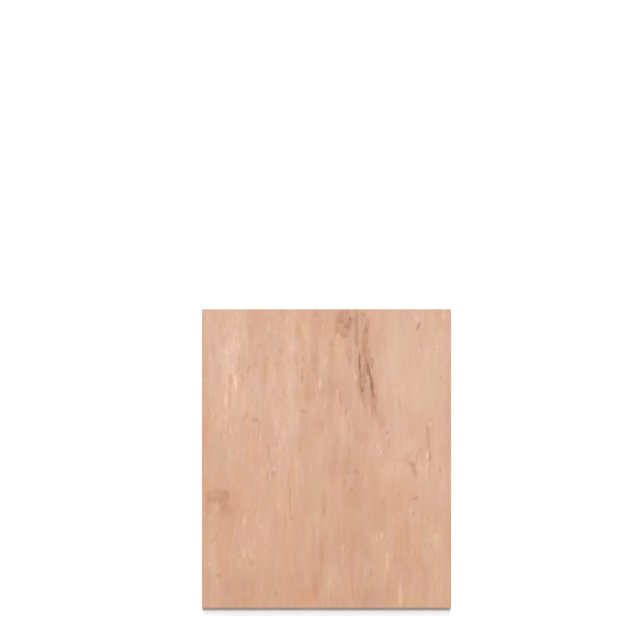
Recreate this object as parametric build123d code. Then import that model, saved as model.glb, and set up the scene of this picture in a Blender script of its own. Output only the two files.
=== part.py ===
from build123d import *
import os

# Plywood sheet: one flat rectangular panel, sawn square, lying on its back face.
# The plies are glued and pressed into one board before it is cut, so the sheet is a single solid.
# Origin at the middle of the back face, +X across the face grain, +Y along it, +Z out of the face.
# All lengths are in millimetres.

# Driving dimensions
SHEET_WIDTH = 500.0  # across the grain of the face
SHEET_LENGTH = 600.0  # along the grain of the face
SHEET_THICKNESS = 18.0  # face to back, all the plies together
ARRIS = 0.5  # bevel that light sanding leaves along every sawn edge


def plywood_sheet():
    """The sawn panel, with the sharpness taken off all its edges."""
    sawn_panel = Box(
        SHEET_WIDTH,
        SHEET_LENGTH,
        SHEET_THICKNESS,
        align=(Align.CENTER, Align.CENTER, Align.MIN),
    )
    return chamfer(sawn_panel.edges(), ARRIS)


os.makedirs("parts", exist_ok=True)
export_step(plywood_sheet(), "parts/plywood_sheet.step")
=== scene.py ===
# %% [markdown]
# # A plywood sheet
# A plywood sheet is a pack of thin veneers, each glued crosswise to the next, pressed flat and sawn to size.
# Its solid is already right in shape and size, so this lesson adds what the solid leaves out:
# the plies along the sawn edges, a few open checks in the face, and the figure of the wood.
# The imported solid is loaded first, because every size below is worked out from its box.

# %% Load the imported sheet
import math
from collections import namedtuple

import bpy
import numpy as np
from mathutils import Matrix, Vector


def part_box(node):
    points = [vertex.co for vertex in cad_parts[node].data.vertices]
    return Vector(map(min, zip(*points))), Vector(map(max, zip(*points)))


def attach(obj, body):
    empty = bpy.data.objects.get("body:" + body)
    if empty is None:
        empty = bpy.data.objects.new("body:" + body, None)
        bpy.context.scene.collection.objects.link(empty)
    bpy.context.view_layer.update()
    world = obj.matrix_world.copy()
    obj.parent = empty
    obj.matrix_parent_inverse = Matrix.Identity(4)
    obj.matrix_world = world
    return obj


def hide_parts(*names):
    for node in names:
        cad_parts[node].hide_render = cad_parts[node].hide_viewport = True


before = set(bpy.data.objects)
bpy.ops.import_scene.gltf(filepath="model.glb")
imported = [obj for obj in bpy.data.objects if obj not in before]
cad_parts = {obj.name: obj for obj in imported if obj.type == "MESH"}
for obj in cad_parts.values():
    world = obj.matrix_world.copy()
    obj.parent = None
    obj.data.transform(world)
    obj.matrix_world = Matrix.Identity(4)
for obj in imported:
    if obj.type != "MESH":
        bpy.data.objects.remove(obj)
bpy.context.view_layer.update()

MM = 0.001
SOLID = "plywood_sheet"
low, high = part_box(SOLID)
WIDTH, LENGTH, THICKNESS = high - low
MIDDLE = (low + high) / 2
FACE_HEIGHT = high.z
print(f"sheet {WIDTH / MM:.0f} x {LENGTH / MM:.0f} x {THICKNESS / MM:.0f} mm")

# %% [markdown]
# ## The camera
# The sheet lies on its back, and the photograph looks square at its face, so the camera hangs straight above.
# The photograph's own frame says where: the sheet spans so many pixels, which gives the size of one pixel
# on the face, and from that how high the camera hangs and how far it stands off the sheet's middle.
# A long lens keeps the sawn sides out of sight, as in the photograph.

# %% Hang the camera over the face
PHOTO_SIDE_PX = 640
SHEET_LEFT_PX = 202.0
SHEET_RIGHT_PX = 451.0
SHEET_TOP_PX = 309.15
SHEET_BOTTOM_PX = 608.0
LENS = 150.0
SENSOR = 36.0

pixel = LENGTH / (SHEET_BOTTOM_PX - SHEET_TOP_PX)
right_of_centre = (SHEET_LEFT_PX + SHEET_RIGHT_PX - PHOTO_SIDE_PX) / 2 * pixel
below_centre = (SHEET_TOP_PX + SHEET_BOTTOM_PX - PHOTO_SIDE_PX) / 2 * pixel
camera_height = FACE_HEIGHT + PHOTO_SIDE_PX * pixel * LENS / SENSOR
camera_place = (MIDDLE.x - right_of_centre, MIDDLE.y + below_centre, camera_height)

bpy.ops.object.select_all(action="DESELECT")
bpy.ops.object.camera_add(location=camera_place, rotation=(0.0, 0.0, 0.0))
camera = bpy.context.object
camera.name = "portrait_camera"
camera.data.lens = LENS
camera.data.sensor_width = SENSOR
bpy.context.scene.camera = camera
print(f"one pixel is {pixel / MM:.3f} mm on the face, camera {camera_height:.2f} m up")

# %% [markdown]
# ## Small tools for shader trees
# The light tent and every finish below are trees of shader nodes. They could be wired up by hand,
# but these helpers add a node, fill or link its sockets and hand back its outputs,
# so that a tree reads like a recipe.

# %% Node helpers


def put(tree, kind, sockets, **settings):
    """Add a node, set its options, then link or fill its sockets. Returns its outputs."""
    node = tree.nodes.new(kind)
    for option, value in settings.items():
        setattr(node, option, value)
    for socket, value in sockets.items():
        if isinstance(value, bpy.types.NodeSocket):
            tree.links.new(value, node.inputs[socket])
        else:
            node.inputs[socket].default_value = value
    return node.outputs


def maths(tree, operation, first, second=0.0, third=0.0):
    """One Math node."""
    return put(tree, "ShaderNodeMath", {0: first, 1: second, 2: third}, operation=operation)[0]


def fade(tree, value, start, end, first=0.0, last=1.0):
    """A smooth step from first to last while value goes from start to end."""
    sockets = {0: value, 1: start, 2: end, 3: first, 4: last}
    return put(tree, "ShaderNodeMapRange", sockets, interpolation_type="SMOOTHSTEP", clamp=False)[0]


def tint(tree, amount, first, second, how="MIX"):
    """One colour blended into another."""
    sockets = {0: amount, 6: first, 7: second}
    return put(tree, "ShaderNodeMix", sockets, data_type="RGBA", blend_type=how)[2]


print("node helpers ready")

# %% [markdown]
# ## Floor and light
# The picture is bright and nearly shadowless, as on a white table in a light tent.
# An area lamp would light the sheet unevenly, so two Sun lamps do it, which light every place alike.
# The main lamp hangs high and a little beyond the far edge: the floor shines white up to the sides,
# and only along the near edge lies a thin dark shadow. A lower lamp beyond it lets that shadow fade softly.
# The tent is dim above and white low down, where its walls are the background of a low view.
# The Standard view keeps the wood's colour as the nodes give it, with no film curve.

# %% Paint the floor
FLOOR_SIDE = 60.0
FLOOR_DROP = 0.05 * MM
FLOOR_WHITE = (0.92, 0.92, 0.92, 1.0)

bpy.ops.object.select_all(action="DESELECT")
bpy.ops.mesh.primitive_plane_add(size=FLOOR_SIDE, location=(0.0, 0.0, low.z - FLOOR_DROP))
floor = bpy.context.object
floor.name = "studio_floor"
floor_paint = bpy.data.materials.new("floor_paint")
floor_paint.use_nodes = True
floor_shader = floor_paint.node_tree.nodes["Principled BSDF"]
floor_shader.inputs["Base Color"].default_value = FLOOR_WHITE
floor_shader.inputs["Roughness"].default_value = 1.0
floor_shader.inputs["Specular IOR Level"].default_value = 0.0
floor.data.materials.append(floor_paint)
print(f"floor of {FLOOR_SIDE:.0f} m, {FLOOR_DROP / MM:.2f} mm under the sheet")

# %% Hang the tent and the lamps
TENT_WHITE = (1.0, 1.0, 1.0, 1.0)
TENT_WALL = 1.0
TENT_ROOF = 0.37
WALL_TOP = math.sin(math.radians(5))
ROOF_START = math.sin(math.radians(15))
Lamp = namedtuple("Lamp", "name tilt spread light")
LAMPS = (
    Lamp("main_lamp", math.radians(22), math.radians(14), 0.58),
    Lamp("far_lamp", math.radians(50), math.radians(30), 0.30),
)

tent = bpy.data.worlds.new("light_tent")
tent.use_nodes = True
direction = put(tent.node_tree, "ShaderNodeTexCoord", {})["Generated"]
upward = put(tent.node_tree, "ShaderNodeSeparateXYZ", {"Vector": direction})["Z"]
strength = fade(tent.node_tree, upward, WALL_TOP, ROOF_START, TENT_WALL, TENT_ROOF)
cloth = tent.node_tree.nodes["Background"]
cloth.inputs["Color"].default_value = TENT_WHITE
tent.node_tree.links.new(strength, cloth.inputs["Strength"])
bpy.context.scene.world = tent
bpy.context.scene.view_settings.view_transform = "Standard"

for lamp in LAMPS:
    bpy.ops.object.light_add(type="SUN", rotation=(-lamp.tilt, 0.0, 0.0))
    light = bpy.context.object
    light.name = lamp.name
    light.data.angle = lamp.spread
    light.data.energy = lamp.light * math.pi / math.cos(lamp.tilt)
print(f"light on the face {TENT_ROOF + sum(lamp.light for lamp in LAMPS):.2f} times that of plain white")

# %% [markdown]
# ## The sawn board
# The board starts as one block, because the real one is pressed into one block before it is sawn.
# It could be a stack of thin boxes, but glued plies have no gaps, and a stack would hide faces inside.
# A cube is added at the sheet's size, and a small bevel takes the sharpness off every edge, as sanding does.

# %% Cut the blank
ARRIS = 0.5 * MM
ARRIS_STEPS = 2

bpy.ops.object.select_all(action="DESELECT")
bpy.ops.mesh.primitive_cube_add(size=1.0, location=MIDDLE, scale=(WIDTH, LENGTH, THICKNESS))
board = bpy.context.object
board.name = "pressed_board"
board.data.name = "pressed_board"
bpy.ops.object.transform_apply(location=True, rotation=True, scale=True)
bpy.ops.object.mode_set(mode="EDIT")
bpy.ops.mesh.select_mode(type="EDGE")
bpy.ops.mesh.select_all(action="SELECT")
bpy.ops.mesh.bevel(offset=ARRIS, segments=ARRIS_STEPS, affect="EDGES")
bpy.ops.object.mode_set(mode="OBJECT")
print(f"blank with eased edges: {len(board.data.polygons)} faces")

# %% [markdown]
# ## Plies on the sawn edges
# A saw cut bares the plies: thin face veneers outside, thicker core plies between, each turned a quarter
# from the last. The count is odd, so both faces run the same way.
# Bisecting the block at each glue line draws the plies on all four edges at once.
# Upright cuts follow, so that the glue lines can wander a little later on.

# %% Slice at the glue lines
PLY_COUNT = 9
FACE_VENEER = 0.9 * MM
COLUMN = 10.0 * MM

core_ply = (THICKNESS - 2 * FACE_VENEER) / (PLY_COUNT - 2)
glue_heights = [low.z + FACE_VENEER + core_ply * place for place in range(PLY_COUNT - 1)]


def slice_board(place, direction):
    """Cut a loop of edges right round the board, and take nothing away."""
    bpy.ops.mesh.select_all(action="SELECT")
    bpy.ops.mesh.bisect(plane_co=place, plane_no=direction)


bpy.ops.object.mode_set(mode="EDIT")
for height in glue_heights:
    slice_board((0.0, 0.0, height), (0.0, 0.0, 1.0))
for step in range(1, round(WIDTH / COLUMN)):
    slice_board((low.x + step * COLUMN, 0.0, 0.0), (1.0, 0.0, 0.0))
for step in range(1, round(LENGTH / COLUMN)):
    slice_board((0.0, low.y + step * COLUMN, 0.0), (0.0, 1.0, 0.0))
bpy.ops.object.mode_set(mode="OBJECT")
print(f"{PLY_COUNT} plies, core plies {core_ply / MM:.2f} mm: {len(board.data.polygons)} faces")

# %% [markdown]
# ## End grain
# On each edge every second ply is cut across its fibres. The saw tears those fibres a little,
# so end grain lies slightly lower than the long grain beside it.
# Those strips are picked by their height and by the way they face, then inset inwards.

# %% Sink the end grain
END_GRAIN_DEPTH = 0.12 * MM
END_GRAIN_SLOPE = 0.10 * MM
FACING = 0.9


def ply_at(height):
    """The number of the ply at a height, counted from the back veneer."""
    return int(np.searchsorted(glue_heights, height))


def select_faces(piece, wanted):
    """Select the faces that wanted(centre, normal) picks, and stay in edit mode."""
    bpy.ops.object.mode_set(mode="EDIT")
    bpy.ops.mesh.select_mode(type="FACE")
    bpy.ops.mesh.select_all(action="DESELECT")
    bpy.ops.object.mode_set(mode="OBJECT")
    picked = [face for face in piece.data.polygons if wanted(face.center, face.normal)]
    for face in picked:
        face.select = True
    bpy.ops.object.mode_set(mode="EDIT")
    return len(picked)


def is_end_grain(centre, normal):
    """Odd plies run across the sheet and show end grain on its long sides, even plies on its short ones."""
    ply = ply_at(centre.z)
    if ply in (0, PLY_COUNT - 1):
        return False
    if abs(normal.x) > FACING:
        return ply % 2 == 1
    return abs(normal.y) > FACING and ply % 2 == 0


sunk = select_faces(board, is_end_grain)
bpy.ops.mesh.inset(thickness=END_GRAIN_SLOPE, depth=-END_GRAIN_DEPTH)
bpy.ops.object.mode_set(mode="OBJECT")
print(f"end grain sunk on {sunk} faces")

# %% [markdown]
# ## Where each point lies among the plies
# The finish of the edges has to follow the plies, also where their lines wander.
# So each point keeps a number of its own before anything is bent: 0 on the back, 1 on the first
# glue line, 2 on the second, and so on up to the face. A material can read that number.

# %% Number the plies
bends = [low.z, *glue_heights, high.z]
heights = np.array([vertex.co.z for vertex in board.data.vertices])
ply_places = np.interp(heights, bends, range(len(bends)))
ply_numbers = board.data.attributes.new("ply_place", "FLOAT", "POINT")
ply_numbers.data.foreach_set("value", ply_places.astype(np.float32))
print(f"ply numbers from {ply_places.min():.1f} to {ply_places.max():.1f}")

# %% [markdown]
# ## Wandering glue lines and saw ripple
# Peeled veneer is never quite even, so the glue lines wander by a few tenths of a millimetre.
# Two Displace modifiers with cloud textures push the core up and down, a broad swell and a short one,
# and a third presses the sawn edges in a little, as an uneven saw cut does. Nothing grows past the box.

# %% Let the core wander
Ripple = namedtuple("Ripple", "name direction size strength level")
RIPPLES = (
    Ripple("broad_swell", "Z", 70.0 * MM, 0.7 * MM, 0.5),
    Ripple("short_swell", "Z", 14.0 * MM, 0.5 * MM, 0.5),
    Ripple("saw_ripple", "NORMAL", 25.0 * MM, 0.12 * MM, 1.0),
)

CORE = "core_plies"
inside = np.flatnonzero((ply_places >= 1.0) & (ply_places <= PLY_COUNT - 1.0))
board.vertex_groups.new(name=CORE).add(inside.tolist(), 1.0, "REPLACE")

bpy.ops.object.select_all(action="DESELECT")
board.select_set(True)
bpy.context.view_layer.objects.active = board
for ripple in RIPPLES:
    clouds = bpy.data.textures.new(ripple.name, "CLOUDS")
    clouds.noise_scale = ripple.size
    push = board.modifiers.new(ripple.name, "DISPLACE")
    push.texture = clouds
    push.texture_coords = "LOCAL"
    push.direction = ripple.direction
    push.strength = ripple.strength
    push.mid_level = ripple.level
    push.vertex_group = CORE
    bpy.ops.object.modifier_apply(modifier=push.name)
board.vertex_groups.remove(board.vertex_groups[CORE])
print(f"{len(inside)} core points moved, box now {[round(side / MM, 2) for side in board.dimensions]} mm")

# %% [markdown]
# ## Open checks
# The darkest streaks are shallow splits in the veneer, so they are cut as real hollows.
# Places on the face are given as a maker would mark them, in millimetres from the left edge
# and down from the top edge. A lean of so many degrees swings the lower end of a mark to the right.
# Each cutter is a sphere squeezed to a slim spindle that lies half in the face,
# and all of them are joined and taken away from the board with one Boolean.

# %% A ruler for the face
Check = namedtuple("Check", "left top half_width half_length lean depth")


def on_face(mark):
    """The middle of a mark on the face, in metres in the sheet's own frame."""
    return Vector((low.x + mark.left * MM, high.y - mark.top * MM, FACE_HEIGHT))


CHECKS = (
    Check(316, 106, 1.0, 14, 0, 0.20),
    Check(335, 126, 1.2, 11, 14, 0.22),
    Check(341, 155, 1.3, 9, 3, 0.25),
    Check(426, 319, 1.2, 10, 14, 0.20),
    Check(458, 295, 0.8, 10, 0, 0.20),
    Check(177, 386, 0.6, 34, 2, 0.18),
    Check(434, 36, 0.9, 6, -15, 0.20),
)
print(f"{len(CHECKS)} checks marked out")

# %% Gouge the checks
SPINDLE_SIDES = 12
SPINDLE_RINGS = 10

spindles = []
for check in CHECKS:
    bpy.ops.mesh.primitive_uv_sphere_add(
        segments=SPINDLE_SIDES,
        ring_count=SPINDLE_RINGS,
        radius=1.0,
        location=on_face(check),
        rotation=(0.0, 0.0, math.radians(check.lean)),
        scale=(check.half_width * MM, check.half_length * MM, check.depth * MM),
    )
    spindles.append(bpy.context.object)

bpy.ops.object.select_all(action="DESELECT")
for spindle in spindles:
    spindle.select_set(True)
bpy.ops.object.join()
cutters = bpy.context.object
bpy.ops.object.transform_apply(location=True, rotation=True, scale=True)

bpy.ops.object.select_all(action="DESELECT")
board.select_set(True)
bpy.context.view_layer.objects.active = board
gouge = board.modifiers.new("gouge", "BOOLEAN")
gouge.operation = "DIFFERENCE"
gouge.solver = "EXACT"
gouge.use_self = True
gouge.object = cutters
bpy.ops.object.modifier_apply(modifier=gouge.name)
bpy.data.objects.remove(cutters, do_unlink=True)
print(f"{len(CHECKS)} checks cut, {len(board.data.polygons)} faces")

# %% [markdown]
# ## Grain from noise
# All the finishes use Object coordinates, so the wood runs through the sheet at its real size.
# Grain could be a Wave texture, but waves repeat and wood doesn't. So it is noise drawn out along the fibres:
# a Mapping node squeezes the coordinates, more across the grain than along it, and a Noise node reads them.
# A layer says how wide and how long its blobs are in millimetres, and how far it swings.

# %% Grain helpers
Layer = namedtuple("Layer", "across along detail seed gain")


def new_finish(name):
    """A new material, its node tree and its Principled shader."""
    finish = bpy.data.materials.new(name)
    finish.use_nodes = True
    return finish, finish.node_tree, finish.node_tree.nodes["Principled BSDF"]


def grain(tree, place, layer):
    """The noise of one layer, about one half."""
    squeeze = (1 / (layer.across * MM), 1 / (layer.along * MM), 1.0)
    sockets = {"Vector": place, "Location": (layer.seed, layer.seed, layer.seed), "Scale": squeeze}
    drawn_out = put(tree, "ShaderNodeMapping", sockets)[0]
    return put(tree, "ShaderNodeTexNoise", {"Vector": drawn_out, "Scale": 1.0, "Detail": layer.detail})[0]


def swing(tree, noise, gain, start=0.0):
    """Start plus a noise that swings about nought, with its whole range as gain."""
    about_nought = put(tree, "ShaderNodeMapRange", {0: noise, 3: -gain / 2, 4: gain / 2}, clamp=False)[0]
    return maths(tree, "ADD", start, about_nought)


def add_layers(tree, place, layers, start=0.0):
    """Start plus the swing of each layer in turn."""
    total = start
    for layer in layers:
        total = swing(tree, grain(tree, place, layer), layer.gain, total)
    return total


print("grain helpers ready")

# %% Vector helpers


def vectors(tree, operation, first, second):
    """One Vector Math node on two vectors."""
    return put(tree, "ShaderNodeVectorMath", {0: first, 1: second}, operation=operation)[0]


def scaled(tree, vector, amount):
    """A vector times a number."""
    return put(tree, "ShaderNodeVectorMath", {0: vector, "Scale": amount}, operation="SCALE")[0]


def split(tree, vector):
    """The X, Y and Z of a vector."""
    return put(tree, "ShaderNodeSeparateXYZ", {"Vector": vector})


def shifted(tree, place, across=0.0, along=0.0):
    """The coordinates pushed across and along the grain, in metres."""
    return vectors(tree, "ADD", place, put(tree, "ShaderNodeCombineXYZ", {"X": across, "Y": along})[0])


print("vector helpers ready")

# %% [markdown]
# ## Marks that belong to this face
# Streaks, tears, dashes, flecks and patches, each in its place, make this face its own.
# They could be painted on an image, but soft ellipses stay clean at any distance.
# A Mapping node brings each ellipse to a unit ball, and a Gradient node fades it from middle to rim.
# A mark shifts three numbers: the tone (below nought is darker), the cast (below nought is redder,
# above it greyer) and the yellowness. A list of marks becomes one node group, which adds up their shifts.

# %% A way to lay marks
Mark = namedtuple("Mark", "left top half_width half_length tone cast yellow lean", defaults=(0.0, 0.0, 0.0))


def mark_strength(group, place, mark, full):
    """How strong a mark is at a place: nought outside its rim, one where it is full."""
    sockets = {
        "Vector": place,
        "Location": on_face(mark),
        "Rotation": (0.0, 0.0, math.radians(mark.lean)),
        "Scale": (mark.half_width * MM, mark.half_length * MM, 1.0),
    }
    ball = put(group, "ShaderNodeMapping", sockets, vector_type="TEXTURE")[0]
    rise = put(group, "ShaderNodeTexGradient", {"Vector": ball}, gradient_type="SPHERICAL")[1]
    return fade(group, rise, 0.0, full)


def lay_marks(tree, place, name, marks, full):
    """What a list of marks shifts at a place, as one vector. A mark is full this far inside its rim."""
    group = bpy.data.node_groups.new(name, "ShaderNodeTree")
    group.interface.new_socket("Place", in_out="INPUT", socket_type="NodeSocketVector")
    group.interface.new_socket("Shift", in_out="OUTPUT", socket_type="NodeSocketVector")
    given = put(group, "NodeGroupInput", {})["Place"]
    total = (0.0, 0.0, 0.0)
    for mark in marks:
        shift = (mark.tone, mark.cast, mark.yellow)
        moved = scaled(group, shift, mark_strength(group, given, mark, full))
        total = vectors(group, "ADD", total, moved)
    put(group, "NodeGroupOutput", {"Shift": total})
    return put(tree, "ShaderNodeGroup", {"Place": place}, node_tree=group)["Shift"]


print("marks ready to lay")

# %% [markdown]
# ## Bark streaks
# Where a little bark grew into the log, the veneer has two brown streaks, darkest in their middles.
# One dark ellipse for each would look painted, so a streak is a chain of small leaning ellipses over a wide
# faint one. Above them, brown bars and a ragged cluster of knotty wood go on to the edge of the sheet.

# %% Bark streaks and the cluster above them
LEFT_STREAK = (
    Mark(316, 104, 3.3, 21, -0.38),
    Mark(317, 116, 4.0, 8, -0.24),
    Mark(318, 135, 3.8, 22, -0.20, lean=4),
    Mark(320, 152, 12, 42, -0.075, 0.05, 0.03, lean=4),
    Mark(314, 150, 4.0, 8, -0.08, 0.0, 0.03),
    Mark(320, 158, 5.0, 12, -0.12, 0.05, 0.03, lean=15),
    Mark(322, 162, 5.0, 6, -0.15, 0.0, 0.02, lean=20),
    Mark(329, 144, 4.2, 5, -0.14, 0.1, 0.03),
    Mark(329, 103, 3.6, 12, -0.15, -0.15),
    Mark(328, 126, 6.5, 20, -0.13, -0.15, lean=3),
    Mark(324, 180, 5.5, 17, -0.06, 0.05, 0.02, lean=12),
)
RIGHT_STREAK = (
    Mark(332, 113, 3.2, 6, -0.28, -0.1),
    Mark(336, 127, 4.4, 15, -0.42, lean=14),
    Mark(340, 143, 5.6, 11, -0.30, lean=12),
    Mark(341, 155, 4.6, 12, -0.46, lean=3),
    Mark(343, 169, 3.2, 10, -0.28, lean=5),
    Mark(337, 108, 11, 17, -0.10, 0.0, 0.02),
    Mark(343, 100, 4.5, 4, -0.12),
    Mark(341, 112, 2.4, 9, -0.07),
    Mark(350, 152, 5.0, 7, -0.07),
    Mark(345, 184, 9, 25, -0.13, -0.12, lean=6),
    Mark(347, 207, 9, 15, -0.13, -0.15),
    Mark(360, 226, 11, 16, -0.07, -0.15, lean=10),
    Mark(331, 140, 24, 86, -0.065, -0.06, 0.01, lean=8),
    Mark(329, 174, 14, 36, -0.04, 0.0, 0.02, lean=8),
    Mark(329, 203, 8, 18, -0.06, -0.1, lean=8),
)
BARS_ABOVE = (
    Mark(310, 14, 5.0, 18, -0.14, -0.2),
    Mark(311, 51, 5.0, 34, -0.17, 0.0, 0.05),
    Mark(324, 9, 6.0, 6, -0.15, 0.3, 0.03),
    Mark(322, 21, 9, 18, -0.06, 0.2, 0.01),
    Mark(332, 34, 6.0, 20, -0.13, -0.2, lean=-8),
    Mark(327, 62, 7.5, 32, -0.15, -0.2, lean=-3),
    Mark(331, 86, 10, 11, -0.08, -0.15),
    Mark(296, 92, 8, 18, -0.06, -0.2, -0.03),
    Mark(297, 106, 3.4, 11, -0.10, -0.1),
    Mark(303, 98, 4.2, 42, 0.06),
)
TOP_CLUSTER = (
    Mark(284, 27, 22, 38, -0.11, -0.28, 0.01),
    Mark(279, 15, 9, 13, -0.09, -0.1),
    Mark(281, 24, 8, 3.2, -0.09),
    Mark(294, 7, 6, 4, -0.12),
    Mark(298, 19, 6.5, 5, -0.18, lean=20),
    Mark(295, 29, 5.0, 14, -0.15, lean=-12),
    Mark(291, 38, 7, 5, -0.14),
    Mark(288, 55, 8, 3.2, -0.20, 0.1, 0.02),
    Mark(305, 25, 5, 13, -0.07, -0.1),
    Mark(268, 48, 4.4, 11, -0.08),
    Mark(308, 40, 44, 85, -0.035, -0.10),
)
BARK = LEFT_STREAK + RIGHT_STREAK + BARS_ABOVE + TOP_CLUSTER
print(f"{len(BARK)} marks of bark")

# %% [markdown]
# ## Tears and the arch
# The peeling knife lifted some fibres near the right edge, which left a dark V and a few slits.
# At the left the grain bends round a small knot, and a brown arch, open below, shows where.
# Both could be cut as hollows, but they are mostly stain, so they are marks, and only the splits are cut. The
# dark of one slit near the right edge is painted shade.

# %% Tears at the right and the arch at the left
TEARS = (
    Mark(421, 310, 11, 7, -0.15),
    Mark(426, 322, 6.4, 17, -0.18, lean=11),
    Mark(431, 298, 3.0, 10, -0.14, lean=-5),
    Mark(437, 283, 3.4, 15, -0.08, lean=-12),
    Mark(404, 301, 18, 9, -0.05, lean=30),
    Mark(454, 256, 5.6, 32, -0.15, -0.15, lean=2),
    # Painted shade: the dark tone of this slit is shade inside the split, which is also cut as a real hollow.
    Mark(458, 295, 2.8, 12, -0.22),
    Mark(456, 316, 3.4, 18, -0.06),
    Mark(434, 36, 3.2, 11, -0.32, lean=-15),
    Mark(177, 386, 2.2, 42, -0.13, lean=2),
    Mark(180, 420, 3.6, 7, -0.10),
    Mark(173, 345, 2.6, 20, -0.08),
    Mark(181, 322, 2.8, 11, -0.09, lean=-50),
)
ARCH = (
    Mark(32, 374, 32, 17, -0.085, -0.18, 0.01),
    Mark(20, 384, 14, 7.0, -0.06, -0.1),
    Mark(45, 384, 17, 30, -0.065, -0.18),
    Mark(42, 391, 12, 10, -0.06),
    Mark(14, 398, 11, 18, -0.07, -0.15),
    Mark(62, 385, 16, 38, -0.035, -0.2),
    Mark(28, 396, 7, 10, 0.04),
    Mark(48, 408, 17, 16, -0.04, -0.05),
    Mark(46, 425, 34, 32, -0.035, -0.1),
)
print(f"{len(TEARS)} tears, {len(ARCH)} marks of the arch")

# %% [markdown]
# ## Dashes and flecks
# Dark dashes are cut pores and specks of gum, and pale flecks are short runs of paler fibres, except two
# beside a slit near the right edge, which are a painted highlight on its lit lip.
# Noise could scatter them all, and later it scatters the smallest. But the larger ones are what the eye
# knows this face by, so each of those has a place of its own.

# %% Dark dashes
DARK_DASHES = (
    Mark(75, 106, 3.2, 26, -0.13),
    Mark(79, 136, 3.4, 10, -0.14, -0.07, lean=25),
    Mark(93, 121, 2.8, 14, -0.10, -0.07, lean=-43),
    Mark(108, 111, 6, 3.6, -0.08, -0.05),
    Mark(58, 141, 4.2, 15, -0.16, -0.05),
    Mark(57, 178, 3.4, 34, -0.10, -0.05, lean=-2),
    Mark(158, 84, 5, 8, -0.11, -0.05),
    Mark(115, 73, 5, 3.6, -0.07, -0.07),
    Mark(131, 98, 4.4, 6, -0.09, -0.05),
    Mark(203, 99, 4.6, 8, -0.10, -0.07),
    Mark(201, 133, 3.4, 20, -0.18, -0.15, -0.01),
    Mark(229, 8, 8, 8, -0.10, -0.05),
    Mark(259, 68, 5, 11, -0.09, -0.05, 0.03),
    Mark(278, 180, 3.2, 14, -0.10, -0.15, -0.03, lean=10),
    Mark(466, 81, 2.8, 6, -0.13, 0.15),
    Mark(481, 140, 3.4, 7, -0.15, -0.07, lean=30),
    Mark(398, 130, 4, 6, -0.10),
    Mark(396, 189, 4.4, 12, -0.09, lean=5),
    Mark(87, 216, 3.0, 15, -0.10, -0.10, lean=-20),
    Mark(107, 224, 8, 7, -0.12, -0.10),
    Mark(113, 248, 2.8, 32, -0.08, -0.20, lean=-3),
    Mark(50, 249, 2.6, 6, -0.13, -0.10, lean=-50),
    Mark(134, 285, 3.4, 21, -0.11, -0.07, lean=-4),
    Mark(150, 273, 3.0, 5, -0.13, -0.15),
    Mark(107, 306, 4.2, 8, -0.07, -0.10),
    Mark(131, 337, 3.0, 10, -0.13, -0.15, lean=-15),
    Mark(142, 331, 4.0, 8, -0.12, -0.10, lean=-15),
    Mark(203, 204, 8, 6, -0.15, -0.10),
    Mark(240, 234, 7, 16, -0.06, -0.15),
    Mark(290, 206, 3.0, 12, -0.12, -0.10, lean=-12),
    Mark(294, 236, 3.2, 14, -0.10, -0.10, lean=8),
    Mark(297, 286, 3.4, 12, -0.08, -0.10),
    Mark(329, 275, 4.2, 6, -0.07, -0.07, lean=-20),
    Mark(271, 308, 4, 4, -0.11, -0.10),
    Mark(300, 326, 18, 4.4, -0.06, -0.10),
    Mark(313, 327, 7, 5, -0.05, -0.07),
    Mark(300, 362, 5.4, 6.5, -0.12, 0.0, 0.03),
    Mark(286, 353, 3.6, 10, -0.10, 0.0, 0.02),
    Mark(372, 248, 3.4, 4, -0.18, -0.15),
    Mark(376, 270, 2.6, 12, -0.08, -0.10),
    Mark(365, 287, 2.8, 5, -0.12, -0.10),
    Mark(478, 323, 3.2, 6, -0.14, -0.07),
    Mark(490, 313, 2.6, 6, -0.12, -0.07),
    Mark(430, 381, 7, 4.4, -0.18, -0.15),
    Mark(395, 372, 5, 5, -0.07, -0.10),
    Mark(362, 388, 5, 8, -0.08, -0.10),
    Mark(425, 411, 3.4, 8, -0.13, -0.15),
    Mark(448, 471, 4.4, 6, -0.08, -0.07),
    Mark(340, 530, 3.6, 12, -0.07, -0.10),
    Mark(466, 562, 3.4, 8, -0.07, -0.07),
    Mark(106, 410, 3.0, 10, -0.06, -0.10),
    Mark(26, 460, 3.6, 13, -0.11, 0.05, lean=-40),
    Mark(100, 507, 7, 9, -0.09, 0.0, 0.02, lean=-20),
    Mark(33, 534, 5, 4, -0.15, -0.10),
    Mark(148, 573, 3.6, 7, -0.12, -0.10, lean=20),
    Mark(246, 408, 5.4, 13, -0.07, 0.05, 0.02),
)
print(f"{len(DARK_DASHES)} dark dashes")

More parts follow.
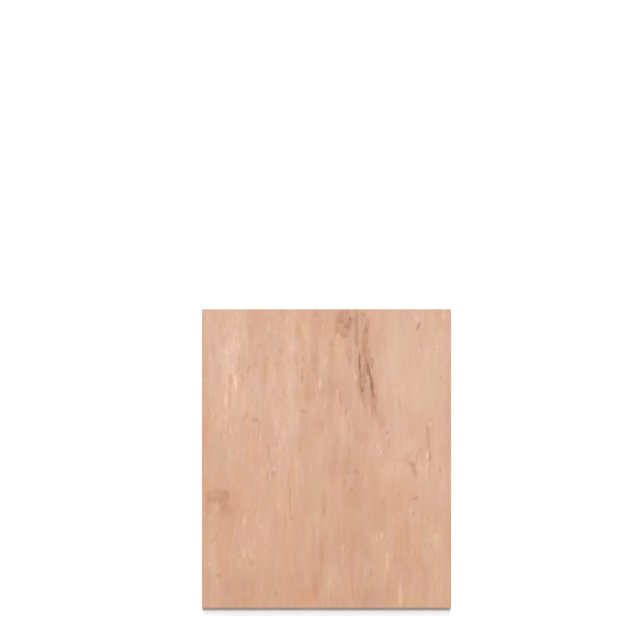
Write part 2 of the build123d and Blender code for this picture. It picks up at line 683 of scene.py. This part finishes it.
# %% Pale flecks
PALE_FLECKS = (
    Mark(136, 38, 3.0, 12, 0.15, -0.1),
    Mark(72, 74, 3.6, 12, 0.11),
    Mark(49, 88, 8, 5, 0.09),
    Mark(59, 82, 3.6, 10, 0.09),
    Mark(16, 100, 3.6, 9, 0.10),
    Mark(68, 150, 4.8, 23, 0.19, lean=2),
    Mark(83, 184, 6, 30, 0.10, -0.1),
    Mark(48, 184, 5, 20, 0.10),
    Mark(145, 148, 2.6, 10, 0.07),
    Mark(177, 81, 3.6, 15, 0.16, -0.1),
    Mark(183, 77, 2.6, 10, 0.12),
    Mark(243, 40, 3.6, 12, 0.13, -0.1, lean=4),
    Mark(273, 53, 4.4, 8, 0.18),
    Mark(248, 107, 3.4, 13, 0.11, lean=-15),
    Mark(237, 149, 3.6, 12, 0.19),
    Mark(309, 138, 4.2, 10, 0.15),
    Mark(332, 137, 2.4, 9, 0.12),
    Mark(343, 92, 4, 5, 0.08),
    Mark(272, 172, 3.6, 15, 0.10, -0.1, lean=4),
    Mark(335, 205, 4.2, 15, 0.13, -0.1, lean=6),
    Mark(431, 19, 3.2, 8, 0.10),
    Mark(484, 12, 4.6, 12, 0.11),
    Mark(23, 212, 3.6, 5, 0.11),
    Mark(49, 217, 3.8, 6, 0.12),
    Mark(57, 241, 3.0, 14, 0.10),
    Mark(120, 322, 3.0, 10, 0.12, lean=10),
    Mark(146, 321, 3.8, 5, 0.12),
    Mark(137, 335, 2.6, 10, 0.11),
    Mark(152, 395, 3.6, 9, 0.13),
    Mark(190, 328, 3.6, 27, 0.09, -0.1),
    Mark(190, 309, 6, 10, 0.09, -0.1),
    Mark(354, 274, 3.8, 8, 0.13, -0.1),
    Mark(360, 287, 3.8, 6, 0.12, -0.1),
    # Painted highlight: these two flecks are the lit lip beside the slit at 458 mm.
    Mark(452, 293, 2.9, 11, 0.18),
    Mark(452, 313, 2.9, 9, 0.14),
    Mark(459, 232, 5, 5, 0.12),
    Mark(361, 452, 3.8, 8, 0.13),
    Mark(351, 458, 3.6, 8, 0.09),
    Mark(447, 430, 3.6, 17, 0.10, lean=-5),
    Mark(470, 457, 6, 9, 0.07, 0.0, 0.02),
    Mark(372, 508, 4.8, 24, 0.16),
    Mark(398, 573, 5.4, 34, 0.14),
    Mark(86, 422, 4.2, 17, 0.12, lean=-8),
    Mark(118, 437, 4.2, 8, 0.09, lean=20),
    Mark(83, 492, 5, 11, 0.10),
    Mark(98, 488, 3.6, 13, 0.08),
    Mark(75, 508, 5, 13, 0.10),
    Mark(15, 510, 3.6, 6, 0.08),
    Mark(30, 547, 3.8, 9, 0.09),
    Mark(283, 478, 4.8, 10, 0.11, lean=-10),
    Mark(257, 546, 4.2, 13, 0.07, 0.1),
    Mark(296, 548, 3.6, 10, 0.09),
)
print(f"{len(PALE_FLECKS)} pale flecks")

# %% [markdown]
# ## Patches and broad areas
# Over a hand's breadth the wood turns greyer or redder, paler or darker, in soft patches.
# Large noise could do that, but its patches would lie elsewhere. So they are ellipses again, only larger
# and fainter, and they overlap freely. The broadest carry the slow change over the whole sheet.

# %% Patches of colour
UPPER_PATCHES = (
    Mark(28, 22, 36, 34, -0.01, 0.15, 0.015),
    Mark(70, 35, 32, 60, 0.045, 0.10, 0.02),
    Mark(24, 95, 22, 68, 0.00, 0.05, -0.045),
    Mark(53, 108, 22, 66, 0.075, 0.05, 0.015),
    Mark(46, 180, 30, 60, 0.05),
    Mark(112, 18, 28, 40, 0.00, -0.22, -0.02),
    Mark(97, 46, 9, 17, -0.09, 0.0, 0.06),
    Mark(92, 70, 20, 28, -0.02, 0.0, 0.04),
    Mark(131, 125, 14, 30, -0.02, 0.0, 0.08),
    Mark(148, 165, 28, 50, 0.01, -0.22, -0.025),
    Mark(150, 65, 24, 42, -0.01, 0.10),
    Mark(178, 40, 17, 66, 0.045, 0.10),
    Mark(178, 130, 18, 60, 0.045, 0.05),
    Mark(183, 200, 20, 62, 0.05, 0.20, 0.025),
    Mark(207, 41, 12, 24, 0.09, 0.05, 0.05),
    Mark(195, 47, 10, 20, -0.03, 0.0, 0.08),
    Mark(205, 10, 28, 15, 0.03, -0.2, -0.02),
    Mark(226, 95, 11, 52, -0.14, 0.0, 0.035),
    Mark(231, 38, 20, 36, -0.06, -0.18),
    Mark(258, 26, 18, 36, -0.025, -0.10, 0.03),
    Mark(261, 90, 11, 38, -0.05, 0.05, 0.06),
    Mark(276, 88, 14, 40, 0.055, 0.05, 0.03),
    Mark(255, 155, 20, 28, -0.065, 0.05, 0.02),
    Mark(288, 168, 34, 56, -0.01, -0.22, -0.045),
    Mark(215, 168, 15, 28, -0.035, -0.22),
    Mark(234, 175, 10, 34, 0.04),
    Mark(430, 105, 100, 135, 0.035, 0.42, 0.01),
    Mark(362, 150, 25, 90, 0.01, -0.14, -0.02),
    Mark(345, 25, 20, 45, 0.05, -0.10),
    Mark(446, 58, 34, 34, -0.015, -0.15),
    Mark(480, 95, 11, 18, 0.0, -0.3),
    Mark(5, 100, 7, 85, -0.03, 0.0, 0.06),
    Mark(112, 70, 15, 26, 0.05, 0.0, -0.01),
    Mark(89, 106, 8, 28, 0.05),
    Mark(306, 182, 8, 28, 0.06, -0.1),
    Mark(205, 106, 11, 22, 0.0, 0.0, -0.05),
)
MIDDLE_PATCHES = (
    Mark(246, 222, 26, 34, -0.04, 0.05, -0.03),
    Mark(205, 235, 13, 40, -0.05, 0.0, -0.02),
    Mark(203, 270, 16, 20, -0.03, 0.0, 0.06),
    Mark(40, 290, 40, 50, -0.015, 0.2),
    Mark(115, 285, 32, 38, 0.02, -0.25),
    Mark(152, 244, 24, 52, 0.05, -0.05, -0.01),
    Mark(88, 366, 17, 13, 0.0, 0.15, 0.05),
    Mark(148, 370, 18, 20, 0.0, 0.15, 0.05),
    Mark(220, 360, 22, 125, -0.045, 0.24, 0.03),
    Mark(262, 312, 17, 48, -0.065, -0.2, -0.04),
    Mark(267, 263, 18, 34, -0.05, 0.05, -0.01),
    Mark(292, 250, 20, 38, 0.025, 0.08),
    Mark(324, 225, 18, 30, 0.02, -0.22, -0.04),
    Mark(320, 256, 18, 17, -0.05, -0.05, -0.03),
    Mark(352, 275, 25, 44, 0.02, -0.15, -0.05),
    Mark(417, 273, 14, 17, 0.03, 0.3, 0.02),
    Mark(400, 263, 19, 12, -0.01, 0.1, 0.05),
    Mark(388, 323, 40, 20, 0.05, 0.0, -0.01),
    Mark(443, 322, 22, 15, 0.05, 0.05, 0.02),
    Mark(420, 336, 15, 13, -0.02, 0.0, 0.07),
    Mark(452, 345, 20, 20, 0.0, 0.25),
    Mark(345, 345, 16, 70, -0.05, -0.1),
    Mark(316, 366, 24, 52, -0.045, -0.1),
    Mark(390, 378, 70, 44, -0.01, -0.2),
    Mark(485, 370, 28, 48, 0.01, 0.0, -0.03),
    Mark(296, 384, 17, 26, -0.04, 0.1, 0.05),
    Mark(244, 390, 10, 32, -0.11, 0.1, 0.06),
    Mark(297, 306, 21, 15, -0.01, 0.05, 0.045),
    Mark(8, 240, 8, 90, -0.02, -0.15, 0.05),
    Mark(8, 370, 8, 60, -0.04, -0.2, 0.05),
    Mark(8, 455, 7, 60, -0.02, -0.1, 0.04),
    Mark(40, 228, 15, 28, 0.05),
    Mark(144, 286, 10, 30, 0.05),
    Mark(94, 272, 12, 26, 0.0, 0.25),
    Mark(168, 289, 18, 18, 0.0, -0.25),
    Mark(116, 369, 15, 15, 0.0, -0.25),
)
LOWER_PATCHES = (
    Mark(22, 432, 22, 26, 0.0, 0.25, 0.02),
    Mark(20, 505, 15, 60, 0.0, 0.3, 0.02),
    Mark(40, 485, 26, 50, 0.01, -0.2, -0.01),
    Mark(85, 505, 32, 48, -0.01, 0.22, 0.02),
    Mark(110, 430, 36, 22, 0.0, 0.1, 0.03),
    Mark(122, 460, 64, 36, 0.015, -0.1, -0.01),
    Mark(80, 562, 52, 38, -0.045, -0.05, -0.01),
    Mark(75, 593, 62, 16, -0.05, 0.2, 0.04),
    Mark(148, 568, 36, 26, -0.01, 0.1, 0.045),
    Mark(182, 440, 28, 66, 0.015, -0.1),
    Mark(222, 440, 22, 52, 0.02, 0.3, 0.02),
    Mark(257, 430, 20, 56, 0.0, 0.3, 0.045),
    Mark(240, 480, 8, 50, -0.09, 0.0, 0.02),
    Mark(248, 498, 10, 10, -0.03, 0.1, 0.05),
    Mark(302, 465, 34, 38, -0.04, -0.05),
    Mark(329, 492, 10, 16, -0.06, 0.1, 0.05),
    Mark(301, 535, 6, 75, -0.055, -0.05),
    Mark(231, 545, 16, 38, -0.06, -0.25, 0.03, lean=-6),
    Mark(228, 568, 8, 24, -0.07, -0.1),
    Mark(204, 578, 30, 28, -0.01, -0.4, 0.045),
    Mark(180, 556, 26, 20, -0.03, 0.1, 0.05),
    Mark(264, 542, 18, 40, 0.005, 0.25, 0.03),
    Mark(320, 578, 28, 30, -0.05, 0.0, 0.02),
    Mark(360, 466, 30, 54, -0.015, 0.22, 0.03),
    Mark(345, 418, 30, 40, -0.035, -0.1),
    Mark(422, 414, 20, 26, 0.01, 0.2),
    Mark(455, 466, 24, 44, -0.005, 0.28, 0.02),
    Mark(474, 462, 18, 28, 0.045, 0.15, 0.025),
    Mark(480, 530, 28, 76, 0.025, 0.25, 0.01),
    Mark(410, 475, 28, 50, 0.005, 0.1, 0.045),
    Mark(440, 538, 36, 50, -0.02, -0.1, -0.01),
    Mark(425, 588, 54, 20, -0.01, 0.2, 0.045),
    Mark(380, 562, 18, 40, -0.015, 0.1, 0.03),
    Mark(342, 580, 22, 24, -0.04, 0.0, -0.03),
    Mark(12, 545, 11, 46, -0.055, 0.0, 0.02),
    Mark(192, 543, 22, 11, 0.0, -0.3),
    Mark(375, 480, 12, 26, 0.0, 0.0, -0.05),
)
PATCHES = UPPER_PATCHES + MIDDLE_PATCHES + LOWER_PATCHES
print(f"{len(PATCHES)} patches")

# %% Broad areas
BROAD_AREAS = (
    Mark(20, 40, 130, 170, 0.035, 0.28, -0.01),
    Mark(105, 190, 150, 150, 0.045),
    Mark(225, 70, 70, 120, 0.03),
    Mark(425, 190, 110, 220, 0.025, 0.08),
    Mark(385, 30, 60, 80, -0.015, 0.25),
    Mark(495, 150, 60, 200, -0.035, 0.16),
    Mark(395, 330, 110, 110, 0.04),
    Mark(70, 380, 150, 130, 0.0, -0.20, 0.01),
    Mark(200, 390, 130, 140, 0.015, -0.14),
    Mark(310, 310, 60, 110, -0.045, -0.20),
    Mark(270, 440, 130, 110, -0.03, -0.10),
    Mark(100, 460, 130, 90, 0.03),
    Mark(420, 470, 120, 110, -0.005, -0.12),
    Mark(250, 580, 260, 60, 0.0, -0.08),
)
print(f"{len(BROAD_AREAS)} broad areas")

# %% [markdown]
# ## Lively and calm places
# At the upper left the wood is full of short dashes and strips, and at the upper right it is calm.
# One strength all over would miss that. So the same kind of ellipse steers it,
# and here the tone of a mark says how much livelier the grain is.

# %% Lively places
LIVELY_AREAS = (
    Mark(140, 150, 170, 220, 0.45),
    Mark(380, 520, 120, 140, 0.15),
    Mark(440, 110, 80, 150, -0.10),
)
print(f"{len(LIVELY_AREAS)} lively or calm places")

# %% [markdown]
# ## Grain of the veneer
# The face is a pinkish tan hardwood veneer, peeled from the log in one long ribbon.
# One noise of many octaves could be its grain, but then all its scales would look alike.
# So the grain comes in layers, from broad to fine: wide soft bands, clouds, strands and fibres.
# The coordinates are bent first: the grain meanders over the sheet and frays at the scale of the fibres.

# %% The layers of the grain
BANDS = Layer(34, 420, 2.0, 11.0, 0.10)
CLOUDS = Layer(60, 90, 2.0, 29.0, 0.06)
STRANDS = Layer(12, 60, 3.0, 17.0, 0.14)
FIBRES = Layer(0.9, 16, 2.0, 31.0, 0.10)
TONE_LAYERS = (BANDS, CLOUDS, STRANDS, FIBRES)
CAST_LAYERS = (Layer(36, 110, 2.0, 41.0, 0.50), Layer(12, 45, 2.0, 43.0, 0.50))
YELLOW_LAYERS = (Layer(24, 90, 2.0, 71.0, 0.14), Layer(9, 40, 2.0, 73.0, 0.12))
MEANDER = Layer(110, 240, 2.0, 3.0, 26 * MM)
FRAY = Layer(5, 22, 2.0, 5.0, 4 * MM)


def wandering(tree, flat):
    """Coordinates whose grain meanders gently and is frayed at the scale of the fibres."""
    return shifted(tree, flat, across=add_layers(tree, flat, (MEANDER, FRAY)))


print(f"layers of the grain from {FIBRES.across} to {CLOUDS.across} mm wide")

# %% [markdown]
# ## Ragged outlines
# Nothing in wood has a clean outline: fibres fray the sides of a mark and comb out its ends.
# Each mark could have a ragged rim of its own, but it is simpler to bend the coordinates they are laid on.
# These are pushed about fibre by fibre, farther for patches and strips than for small marks.

# %% Fray the coordinates
RAGGED_SIDES = (Layer(5, 26, 2.0, 61.0, 1.0), Layer(1.1, 9, 2.0, 101.0, 0.4))
RAGGED_ENDS = (Layer(2.6, 60, 2.0, 67.0, 1.0), Layer(0.8, 40, 2.0, 97.0, 0.6))


def ragged(tree, flat, fray, comb):
    """Coordinates for marks: they keep their place, but fibres fray their sides and comb their ends."""
    sideways = maths(tree, "MULTIPLY", add_layers(tree, flat, RAGGED_SIDES), fray)
    lengthways = maths(tree, "MULTIPLY", add_layers(tree, flat, RAGGED_ENDS), comb)
    return shifted(tree, flat, across=sideways, along=lengthways)


print(f"outlines frayed by fibres {RAGGED_ENDS[1].across} to {RAGGED_SIDES[0].across} mm wide")

# %% [markdown]
# ## Strips and dashes
# Fibres lie in bundles, so from strip to strip the tone and the colour change a little with a clear line
# between, and short dashes, paler and darker, lie along the grain. Noise alone has no clear lines.
# So a Voronoi texture, drawn out along the grain, gives each strip one random colour, and its red, green
# and blue serve as three shifts. The dashes are the peaks of a noise.

# %% Strips
Strip = namedtuple("Strip", "across along seed shift")
STRIPS = (
    Strip(7, 42, 83.0, (0.085, 0.36, 0.06)),
    Strip(17, 95, 89.0, (0.07, 0.36, 0.06)),
)
MIDDLE_GREY = (0.5, 0.5, 0.5)


def lay_strips(tree, place):
    """What the strips shift, each by a tone, a cast and a yellowness of its own."""
    total = (0.0, 0.0, 0.0)
    for strip in STRIPS:
        squeeze = (1 / (strip.across * MM), 1 / (strip.along * MM), 1.0)
        sockets = {"Vector": place, "Location": (strip.seed, strip.seed, 0.0), "Scale": squeeze}
        drawn_out = put(tree, "ShaderNodeMapping", sockets)[0]
        cells = {"Vector": drawn_out, "Scale": 1.0}
        colour = put(tree, "ShaderNodeTexVoronoi", cells, voronoi_dimensions="2D")["Color"]
        about_nought = vectors(tree, "SUBTRACT", colour, MIDDLE_GREY)
        total = vectors(tree, "ADD", total, vectors(tree, "MULTIPLY", about_nought, strip.shift))
    return total


print(f"strips {' and '.join(str(strip.across) for strip in STRIPS)} mm wide")

# %% Dashes
DASHES = (
    Layer(7.5, 30, 1.0, 23.0, 0.08),
    Layer(5.5, 30, 1.0, 37.0, -0.08),
    Layer(3.4, 15, 1.0, 59.0, 0.04),
    Layer(5.0, 8, 1.0, 53.0, -0.04),
)
DASH_RIM = 0.56
DASH_FULL = 0.74


def lay_dashes(tree, place, lively):
    """Short dashes along the grain, stronger where the wood is lively."""
    total = 0.0
    for layer in DASHES:
        dash = fade(tree, grain(tree, place, layer), DASH_RIM, DASH_FULL, 0.0, layer.gain)
        total = maths(tree, "ADD", total, dash)
    return maths(tree, "MULTIPLY", total, lively)


print(f"{len(DASHES)} kinds of dashes")

# %% [markdown]
# ## Marks among the fibres
# Fibres run through a mark as they run through the wood round it. Flat marks would hide them,
# so the strong marks are made stronger and weaker by the fibres. Patches and broad areas stay soft.
# A second set of ellipses, laid the same way, says how lively the grain is.

# %% Lay the marks
MARK_FRAY = 5 * MM
MARK_COMB = 20 * MM
TORN_FULL = 0.42
DASH_MARK_FULL = 0.38
FLECK_FULL = 0.45
PATCH_FULL = 0.6
AREA_FULL = 1.0
LIVELY_FULL = 0.6
FIBROUS = 2.4
CALM = 0.45


def own_marks(tree, flat, combed, fibres):
    """What the marks of this face shift, and the tone of its torn places alone."""
    frayed = ragged(tree, flat, MARK_FRAY, MARK_COMB)
    torn = lay_marks(tree, frayed, "bark_and_tears", BARK + TEARS + ARCH, TORN_FULL)
    dark = lay_marks(tree, frayed, "dark_dashes", DARK_DASHES, DASH_MARK_FULL)
    pale = lay_marks(tree, frayed, "pale_flecks", PALE_FLECKS, FLECK_FULL)
    patches = lay_marks(tree, combed, "patches", PATCHES, PATCH_FULL)
    areas = lay_marks(tree, flat, "broad_areas", BROAD_AREAS, AREA_FULL)
    strong = vectors(tree, "ADD", vectors(tree, "ADD", torn, dark), pale)
    strong = scaled(tree, strong, swing(tree, fibres, FIBROUS, 1.0))
    soft = vectors(tree, "ADD", patches, areas)
    return vectors(tree, "ADD", strong, soft), split(tree, torn)["X"]


def liveliness(tree, flat):
    """How lively the grain is at a place."""
    livelier = lay_marks(tree, flat, "liveliness", LIVELY_AREAS, LIVELY_FULL)
    return maths(tree, "ADD", CALM, split(tree, livelier)["X"])


print(f"{len(BARK + TEARS + ARCH + DARK_DASHES + PALE_FLECKS + PATCHES + BROAD_AREAS)} marks to lay")

# %% [markdown]
# ## Colour of the veneer
# In this wood lightness and hue change independently. One ramp from dark to pale would tie them together,
# so a ramp turns only the tone into colour, and the cast and the yellowness then take away green and blue.
# Painted shade makes the plain wood darker and redder towards the near edge, and darker and greyer along its
# rim.

# %% From tone and cast to colour
VENEER_TONES = (
    (0.00, (0.301, 0.164, 0.100)),
    (0.50, (0.549, 0.360, 0.258)),
    (1.00, (0.790, 0.578, 0.448)),
)
WARM_GREEN = 0.85
WARM_BLUE = 0.80


def tone_ramp(tree, tone):
    """Colour of the wood for a tone from 0, bark brown, to 1, pale."""
    ramp = put(tree, "ShaderNodeValToRGB", {"Fac": tone})[0]
    stops = ramp.node.color_ramp.elements
    while len(stops) < len(VENEER_TONES):
        stops.new(1.0)
    for stop, (at, colour) in zip(stops, VENEER_TONES):
        stop.position = at
        stop.color = (*colour, 1.0)
    return ramp


def cast_colour(tree, cast, yellow):
    """What a cast from 0, warm, to 1, grey, and some yellowness leave of the red, the green and the blue."""
    green = put(tree, "ShaderNodeMapRange", {0: cast, 3: WARM_GREEN}, clamp=False)[0]
    blue = put(tree, "ShaderNodeMapRange", {0: cast, 3: WARM_BLUE}, clamp=False)[0]
    blue = maths(tree, "SUBTRACT", blue, yellow)
    return put(tree, "ShaderNodeCombineColor", {"Red": 1.0, "Green": green, "Blue": blue})[0]


print(f"{len(VENEER_TONES)} tones of veneer")

# %% Plain wood
Shade = namedtuple("Shade", "tone cast yellow")
PLAIN = Shade(0.508, 0.40, 0.0)
# Painted shade: darker and redder towards the near edge, standing in for light that falls off across the
# sheet.
NEAR_END_PAINTED_SHADE = Shade(-0.045, -0.18, 0.012)
# Painted shade: a darker, greyer rim along the sides, as the eased edges fall into shade.
RIM_PAINTED_SHADE = Shade(-0.13, 0.50, 0.0)
RIM = 4 * MM


def near_rim(tree, flat):
    """How near a place is to the sides of the sheet, where a painted shade darkens and greys it."""
    at = split(tree, flat)
    past_side = maths(tree, "SUBTRACT", maths(tree, "ABSOLUTE", at["X"]), WIDTH / 2)
    past_end = maths(tree, "SUBTRACT", maths(tree, "ABSOLUTE", at["Y"]), LENGTH / 2)
    return fade(tree, maths(tree, "MAXIMUM", past_side, past_end), -RIM, 0.0)


def plain_shade(tree, flat, place, rim):
    """Tone, cast and yellowness of the wood before its strips, dashes and marks, with painted shade towards
    the near edge and along the rim.
    """
    end_shade_mask = fade(tree, split(tree, flat)["Y"], MIDDLE.y, low.y)
    all_layers = (TONE_LAYERS, CAST_LAYERS, YELLOW_LAYERS)
    shade = []
    # The rim and the near end get their painted shade here.
    for layers, plain, end_shade, rim_shade in zip(all_layers, PLAIN, NEAR_END_PAINTED_SHADE, RIM_PAINTED_SHADE):
        start = maths(tree, "MULTIPLY_ADD", rim, rim_shade, plain)
        start = maths(tree, "MULTIPLY_ADD", end_shade_mask, end_shade, start)
        shade.append(add_layers(tree, place, layers, start))
    return Shade(*shade)


print(f"plain wood of {PLAIN}")

# %% [markdown]
# ## Surface of the veneer
# A sanded face has a dull sheen that changes with the grain. Its pores are pits, and torn wood lies low.

# %% Pores, sheen and relief
PORES = Layer(0.45, 9, 1.0, 47.0, 0.30)
PORE_RIM = 0.61
PORE_FULL = 0.73
PORE_DEPTH = -0.6
SHEEN_GAIN = 0.6
SHEEN_LOW = 0.2
SHEEN_HIGH = 0.8
SMOOTHEST = 0.55
ROUGHEST = 0.72
STRAND_RELIEF = 0.4
VENEER_BUMP = 0.6
VENEER_RELIEF = 0.12 * MM
VENEER_SHINE = 0.25


def find_pores(tree, place):
    """Where the pores are: the peaks of a very fine noise."""
    return fade(tree, grain(tree, place, PORES), PORE_RIM, PORE_FULL)


def add_surface(tree, shader, place, pores, torn):
    """Give a veneer its sheen and its fine relief."""
    strands = grain(tree, place, STRANDS)
    fibres = grain(tree, place, FIBRES)
    sheen = swing(tree, strands, SHEEN_GAIN, fibres)
    roughness = fade(tree, sheen, SHEEN_LOW, SHEEN_HIGH, SMOOTHEST, ROUGHEST)
    tree.links.new(roughness, shader.inputs["Roughness"])
    shader.inputs["Specular IOR Level"].default_value = VENEER_SHINE
    height = swing(tree, strands, STRAND_RELIEF, fibres)
    height = maths(tree, "MULTIPLY_ADD", pores, PORE_DEPTH, height)
    height = maths(tree, "ADD", torn, height)
    relief = {"Height": height, "Strength": VENEER_BUMP, "Distance": VENEER_RELIEF}
    tree.links.new(put(tree, "ShaderNodeBump", relief)[0], shader.inputs["Normal"])


print(f"pores {PORES.across} mm wide, relief {VENEER_RELIEF / MM:.2f} mm")

# %% [markdown]
# ## The two veneers
# Face and back are veneers of the same wood, so one recipe serves both. A copy of the face would do
# for the back, but no two veneers are alike: the back reads its grain from another part of the log,
# and it has no marks of its own.

# %% Make the veneers
BACK_SHIFT = 1.7
PATCH_FRAY = 9 * MM
PATCH_COMB = 30 * MM
PORE_BROWN = (0.300, 0.160, 0.100, 1.0)


def make_veneer(name, marked):
    """Peeled hardwood veneer, with or without this face's own marks."""
    finish, tree, shader = new_finish(name)
    flat = put(tree, "ShaderNodeTexCoord", {})["Object"]
    rim = near_rim(tree, flat)
    if not marked:
        flat = shifted(tree, flat, across=BACK_SHIFT)
    place = wandering(tree, flat)
    combed = ragged(tree, flat, PATCH_FRAY, PATCH_COMB)
    shift = lay_strips(tree, combed)
    lively = CALM
    torn = 0.0
    if marked:
        marks, torn = own_marks(tree, flat, combed, grain(tree, place, FIBRES))
        lively = liveliness(tree, flat)
        shift = vectors(tree, "ADD", scaled(tree, shift, lively), marks)

    plain = plain_shade(tree, flat, place, rim)
    more = split(tree, shift)
    tone = maths(tree, "ADD", plain.tone, more["X"])
    tone = maths(tree, "ADD", tone, lay_dashes(tree, place, lively))
    cast = maths(tree, "ADD", plain.cast, more["Y"])
    yellow = maths(tree, "ADD", plain.yellow, more["Z"])
    colour = tint(tree, 1.0, tone_ramp(tree, tone), cast_colour(tree, cast, yellow), "MULTIPLY")
    pores = find_pores(tree, place)
    colour = tint(tree, maths(tree, "MULTIPLY", pores, PORES.gain), colour, PORE_BROWN)
    tree.links.new(colour, shader.inputs["Base Color"])
    add_surface(tree, shader, place, pores, torn)
    return finish


face_veneer = make_veneer("face_veneer", True)
back_veneer = make_veneer("back_veneer", False)
print(f"face veneer of {len(face_veneer.node_tree.nodes)} nodes")

# %% [markdown]
# ## Sawn edges
# Along a long side the even plies show long grain, pale and finely lined, and the odd plies show end grain,
# darker and pored. On a short side it is the other way round, so the two kinds of edge differ only in that.
# Each ply could have a finish of its own, but the ply numbers kept earlier are enough for one:
# they say which ply a point is in and how near it is to a glue line.

# %% Lines, mottle and pores of an edge
LINE_WIDTH = 0.4 * MM
LINE_LENGTH = 45 * MM
LINE_DETAIL = 2.0
MOTTLE_SIZE = 9 * MM
MOTTLE_DETAIL = 3.0
EDGE_PORE_SPACING = 0.55 * MM
EDGE_PORE_FULL = 0.16
EDGE_PORE_RIM = 0.34


def edge_texture(tree, place, along):
    """Fine lines along the edge, a slow mottle, and the dots of cut pores."""
    lines_scale = [1 / LINE_WIDTH] * 3
    lines_scale["XYZ".index(along)] = 1 / LINE_LENGTH
    lined = put(tree, "ShaderNodeMapping", {"Vector": place, "Scale": lines_scale})[0]
    lines = put(tree, "ShaderNodeTexNoise", {"Vector": lined, "Scale": 1.0, "Detail": LINE_DETAIL})[0]
    slow = {"Vector": place, "Scale": 1 / MOTTLE_SIZE, "Detail": MOTTLE_DETAIL}
    mottle = put(tree, "ShaderNodeTexNoise", slow)[0]
    dotted = {"Vector": place, "Scale": 1 / EDGE_PORE_SPACING}
    to_dot = put(tree, "ShaderNodeTexVoronoi", dotted)["Distance"]
    return lines, mottle, fade(tree, to_dot, EDGE_PORE_FULL, EDGE_PORE_RIM, 1.0, 0.0)


print(f"edge lines {LINE_WIDTH / MM:.1f} mm wide, pores {EDGE_PORE_SPACING / MM:.2f} mm apart")

# %% Colours of an edge
LONG_GRAIN_PALE = (0.600, 0.400, 0.270, 1.0)
LONG_GRAIN_RED = (0.500, 0.290, 0.190, 1.0)
END_GRAIN_PALE = (0.340, 0.195, 0.120, 1.0)
END_GRAIN_RED = (0.260, 0.130, 0.080, 1.0)
GLUE_BROWN = (0.100, 0.050, 0.030, 1.0)
LINE_GAIN = 1.2
MOTTLE_GAIN = 0.8
PORE_STAIN = 0.5
GLUE_STAIN = 0.7
GLUE_FULL = 0.02
GLUE_RIM = 0.07


def grain_colour(tree, ply, end_grain, lines, mottle, pores):
    """Colour of the plies: every ply is a little different, and end grain is darker and pored."""
    batch = put(tree, "ShaderNodeTexWhiteNoise", {"W": ply}, noise_dimensions="1D")["Value"]
    mix = swing(tree, mottle, MOTTLE_GAIN, swing(tree, lines, LINE_GAIN, batch))
    long_colour = tint(tree, mix, LONG_GRAIN_PALE, LONG_GRAIN_RED)
    end_colour = tint(tree, mix, END_GRAIN_PALE, END_GRAIN_RED)
    end_colour = tint(tree, maths(tree, "MULTIPLY", pores, PORE_STAIN), end_colour, GLUE_BROWN)
    return tint(tree, end_grain, long_colour, end_colour)


def add_glue(tree, ply_place, colour):
    """The colour with brown glue lines between the plies."""
    within = maths(tree, "FRACT", ply_place)
    to_glue = maths(tree, "MINIMUM", within, maths(tree, "SUBTRACT", 1.0, within))
    glue = fade(tree, to_glue, GLUE_FULL, GLUE_RIM, GLUE_STAIN, 0.0)
    return tint(tree, glue, colour, GLUE_BROWN)


print("colours of long grain, end grain and glue ready")

# %% Make the edges
EDGE_ROUGHNESS = 0.8
EDGE_SHINE = 0.2
LINE_RELIEF = 0.8
EDGE_PORE_DEPTH = -0.8
EDGE_BUMP = 0.7
EDGE_RELIEF = 0.15 * MM


def make_edge(name, along, end_grain_plies):
    """A sawn edge. along is the axis it runs along, and end_grain_plies is 1 for odd plies, 0 for even."""
    finish, tree, shader = new_finish(name)
    place = put(tree, "ShaderNodeTexCoord", {})["Object"]
    ply_place = put(tree, "ShaderNodeAttribute", {}, attribute_name="ply_place")["Fac"]
    ply = maths(tree, "FLOOR", ply_place)
    odd = maths(tree, "MODULO", ply, 2.0)
    end_grain = odd if end_grain_plies else maths(tree, "SUBTRACT", 1.0, odd)
    lines, mottle, pores = edge_texture(tree, place, along)
    colour = add_glue(tree, ply_place, grain_colour(tree, ply, end_grain, lines, mottle, pores))
    tree.links.new(colour, shader.inputs["Base Color"])
    shader.inputs["Roughness"].default_value = EDGE_ROUGHNESS
    shader.inputs["Specular IOR Level"].default_value = EDGE_SHINE

    pits = maths(tree, "MULTIPLY", pores, end_grain)
    height = maths(tree, "MULTIPLY_ADD", pits, EDGE_PORE_DEPTH, swing(tree, lines, LINE_RELIEF))
    relief = {"Height": height, "Strength": EDGE_BUMP, "Distance": EDGE_RELIEF}
    tree.links.new(put(tree, "ShaderNodeBump", relief)[0], shader.inputs["Normal"])
    return finish


long_edge = make_edge("long_sawn_edge", "Y", 1)
short_edge = make_edge("short_sawn_edge", "X", 0)
print(f"sawn edge of {len(long_edge.node_tree.nodes)} nodes")

# %% [markdown]
# ## Dressing the board
# One board carries all four finishes: the face, the back, and the two kinds of edge.
# They could be picked by hand, but each face of the mesh looks along the side it belongs to,
# so its normal picks its finish. The eased edges go with the veneers.

# %% Give each face its finish
FINISHES = (face_veneer, back_veneer, long_edge, short_edge)
LEANING = 0.3

for finish in FINISHES:
    board.data.materials.append(finish)


def finish_for(normal):
    """The finish of a face that looks along normal."""
    if normal.z > LEANING:
        return face_veneer
    if normal.z < -LEANING:
        return back_veneer
    return long_edge if abs(normal.x) > abs(normal.y) else short_edge


for face in board.data.polygons:
    face.material_index = FINISHES.index(finish_for(face.normal))
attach(board, "root")
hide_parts(SOLID)
for place, finish in enumerate(FINISHES):
    print(finish.name, sum(face.material_index == place for face in board.data.polygons), "faces")
